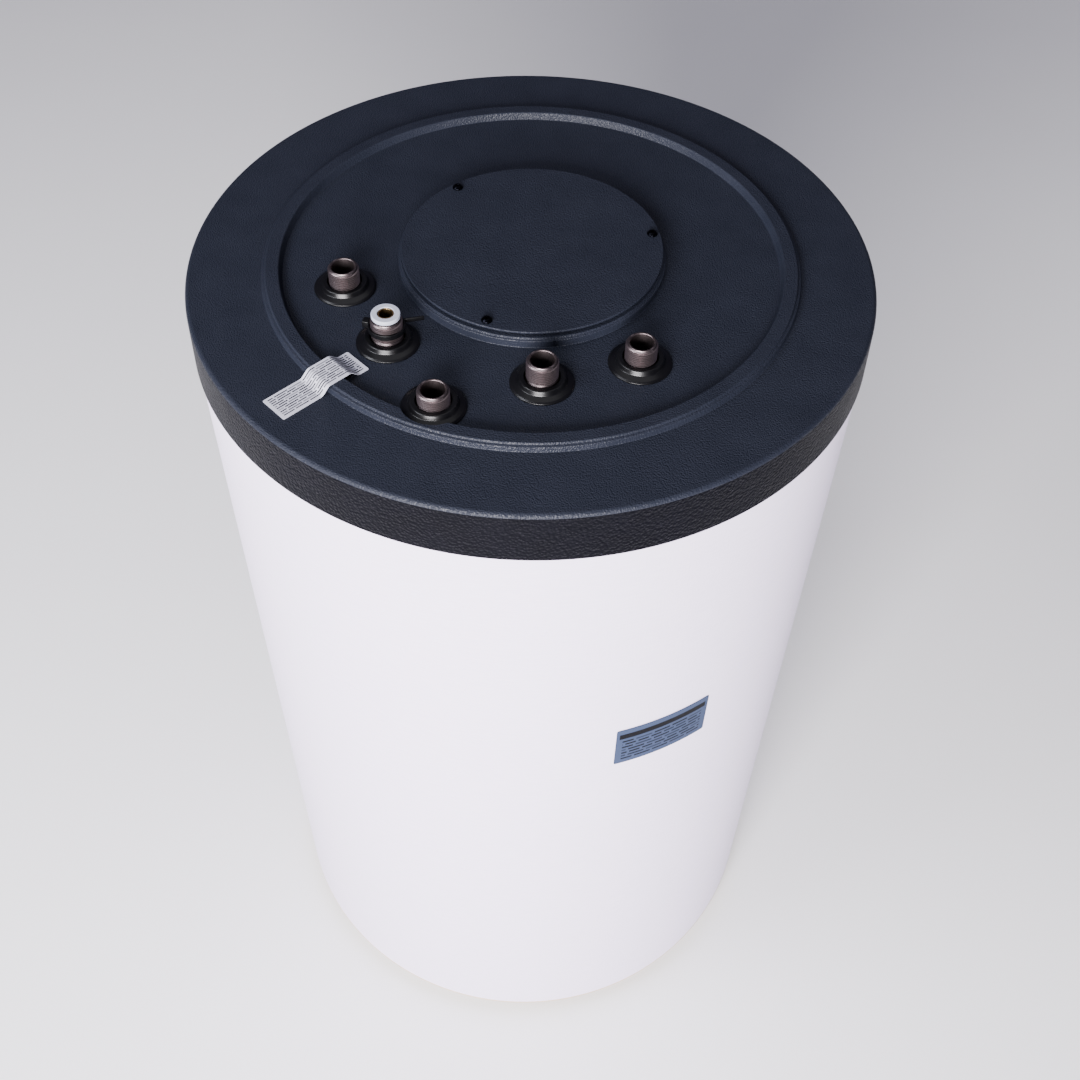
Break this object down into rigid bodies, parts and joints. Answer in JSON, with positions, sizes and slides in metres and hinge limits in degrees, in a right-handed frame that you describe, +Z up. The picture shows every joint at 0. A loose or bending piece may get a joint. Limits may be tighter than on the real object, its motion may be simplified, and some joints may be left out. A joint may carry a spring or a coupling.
{
  "type": "tank water heater",
  "caption": "Floor-standing round storage water heater: foamed steel vessel with a heating coil, moulded lid with pipe ends and a sensor pocket, lift-off access cover, levelling feet.",
  "frame": {"origin": "on the floor, under the vessel's centre line", "axes": "+Z up; -Y is the front, the side that the pipe ends stand nearest; +X is to the right seen from the front"},
  "size_m": [0.603, 0.603, 1],
  "materials": {
    "lid_plastic": "matt, leather grain",
    "rubber": "semi-gloss",
    "black_screw": "black zinc",
    "black_nylon": "satin",
    "bare_steel": "turned, dull",
    "enamelled_steel": "glass enamel",
    "zinc_steel": "zinc plated",
    "brass": "turned",
    "magnesium": "extruded",
    "rigid_foam": "moulded skin",
    "jacket_skin": "embossed film",
    "white_plastic": "satin",
    "beige_plastic": "satin",
    "label_film": "printed film"
  },
  "bodies": {
    "tank": {"anode_plug": "brass", "anode_rod": "magnesium", "base_tray": "beige_plastic", "cable_tie": "black_nylon", "coil_bracket_1": "enamelled_steel", "coil_bracket_2": "enamelled_steel", "coil_bracket_3": "enamelled_steel", "coil_flow_grommet": "rubber", "coil_flow_stub": "bare_steel", "coil_return_grommet": "rubber", "coil_return_stub": "bare_steel", "cold_dip_tube": "white_plastic", "cold_water_grommet": "rubber", "cold_water_stub": "bare_steel", "flange_bolt_1": "zinc_steel", "flange_bolt_2": "zinc_steel", "flange_bolt_3": "zinc_steel", "flange_bolt_4": "zinc_steel", "flange_bolt_5": "zinc_steel", "flange_bolt_6": "zinc_steel", "flange_bolt_7": "zinc_steel", "flange_bolt_8": "zinc_steel", "flange_gasket": "rubber", "flange_neck": "enamelled_steel", "flange_plate": "zinc_steel", "foot_nut_1": "zinc_steel", "foot_nut_2": "zinc_steel", "foot_nut_3": "zinc_steel", "heating_coil": "enamelled_steel", "hot_water_grommet": "rubber", "hot_water_stub": "bare_steel", "insulation": "rigid_foam", "jacket": "jacket_skin", "notice_label": "label_film", "pocket_bush": "white_plastic", "pocket_seal": "rubber", "rating_plate": "label_film", "sensor_grommet": "rubber", "sensor_pocket": "brass", "sensor_stub": "bare_steel", "support_ring": "bare_steel", "tank_bottom_dome": "enamelled_steel", "tank_shell": "enamelled_steel", "tank_top_dome": "enamelled_steel", "top_lid": "lid_plastic"},
    "access_cover": {"access_cover": "lid_plastic", "cover_insulation": "rigid_foam", "cover_seal": "rubber", "cover_screw_1": "black_screw", "cover_screw_2": "black_screw", "cover_screw_3": "black_screw"},
    "foot_pad_1": {"foot_pad_1": "rubber"},
    "foot_stud_1": {"foot_stud_1": "zinc_steel"},
    "foot_pad_2": {"foot_pad_2": "rubber"},
    "foot_stud_2": {"foot_stud_2": "zinc_steel"},
    "foot_pad_3": {"foot_pad_3": "rubber"},
    "foot_stud_3": {"foot_stud_3": "zinc_steel"}
  },
  "joints": [
    {"name": "access_cover_lift", "type": "slide", "parent": "tank", "child": "access_cover", "axis": [0, 0, 1], "range_m": [0, 0.15]},
    {"name": "foot_1_travel", "type": "slide", "parent": "tank", "child": "foot_pad_1", "axis": [0, 0, -1], "range_m": [-0.005, 0.012]},
    {"name": "foot_1_turn", "type": "hinge", "parent": "foot_pad_1", "child": "foot_stud_1", "pos_m": [0, -0.207, 0.03], "axis": [0, 0, -1], "range_deg": [-1030, 2470]},
    {"name": "foot_2_travel", "type": "slide", "parent": "tank", "child": "foot_pad_2", "axis": [0, 0, -1], "range_m": [-0.005, 0.012]},
    {"name": "foot_2_turn", "type": "hinge", "parent": "foot_pad_2", "child": "foot_stud_2", "pos_m": [0.17927, 0.1035, 0.03], "axis": [0, 0, -1], "range_deg": [-1030, 2470]},
    {"name": "foot_3_travel", "type": "slide", "parent": "tank", "child": "foot_pad_3", "axis": [0, 0, -1], "range_m": [-0.005, 0.012]},
    {"name": "foot_3_turn", "type": "hinge", "parent": "foot_pad_3", "child": "foot_stud_3", "pos_m": [-0.17927, 0.1035, 0.03], "axis": [0, 0, -1], "range_deg": [-1030, 2470]}
  ],
  "couplings": [
    {"joint": "foot_1_turn", "follows": "foot_1_travel", "rad_per_m": 3590.4},
    {"joint": "foot_2_turn", "follows": "foot_2_travel", "rad_per_m": 3590.4},
    {"joint": "foot_3_turn", "follows": "foot_3_travel", "rad_per_m": 3590.4}
  ]
}
